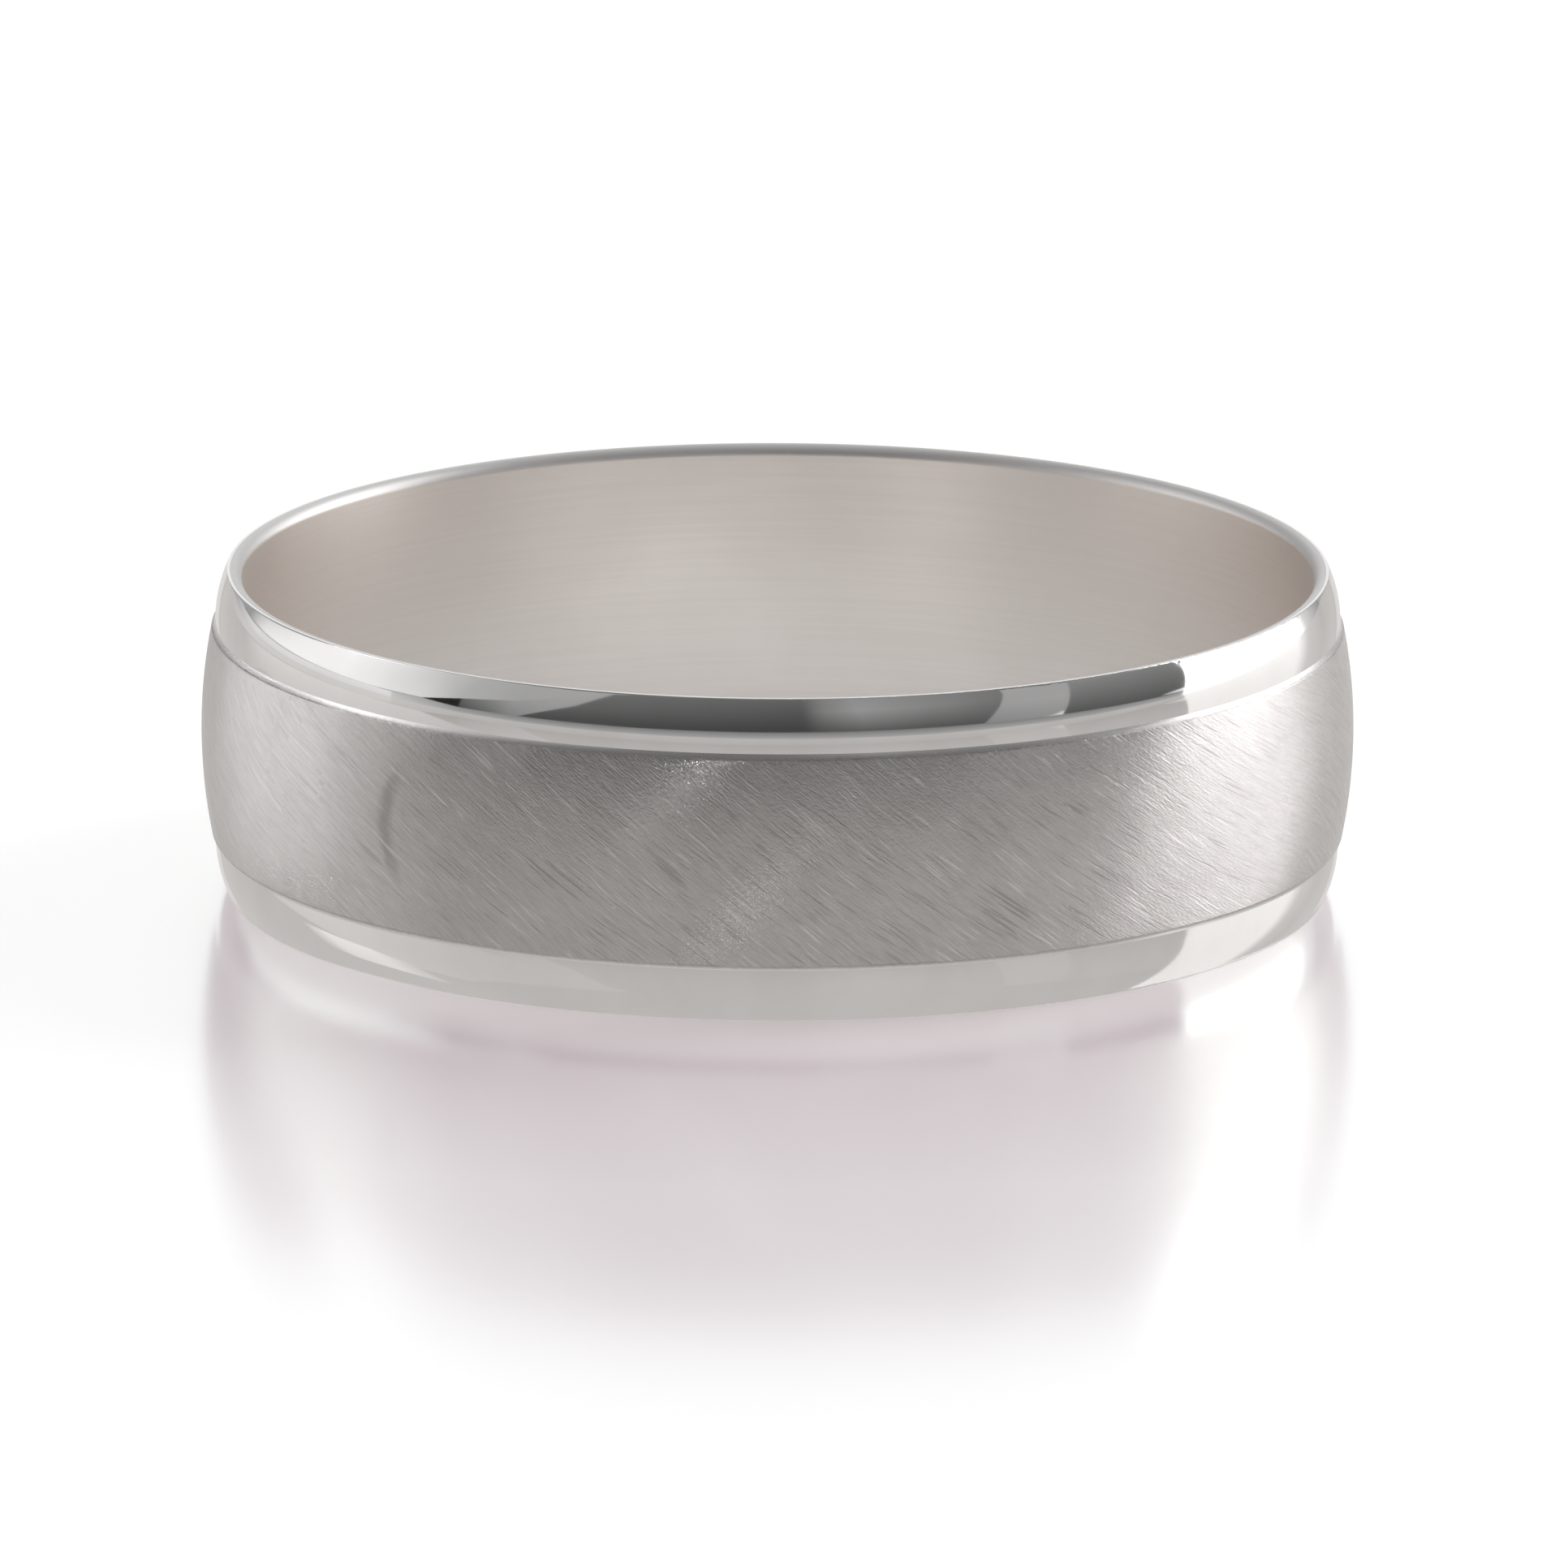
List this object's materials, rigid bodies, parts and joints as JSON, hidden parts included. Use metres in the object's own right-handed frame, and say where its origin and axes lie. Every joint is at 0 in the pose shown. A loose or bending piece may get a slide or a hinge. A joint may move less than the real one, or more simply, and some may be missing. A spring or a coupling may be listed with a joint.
{
  "type": "wedding band",
  "caption": "Slim wedding band: a brushed, gently crowned centre with bevelled shoulders between two polished domed edge rails, on a thin sleeve with a smooth finger bore.",
  "frame": {"origin": "centre of the finger bore, at half the ring's width", "axes": "+Z along the finger axis, X and Y across the ring, which is the same all round"},
  "size_m": [0.0212, 0.0212, 0.006],
  "materials": {
    "bore_satin": "fine satin, turned",
    "brushed": "diagonal brushed",
    "polished": "mirror polished"
  },
  "bodies": {
    "root": {"inner_sleeve": "bore_satin", "centre_band": "brushed", "upper_edge_rail": "polished", "lower_edge_rail": "polished"}
  },
  "joints": []
}
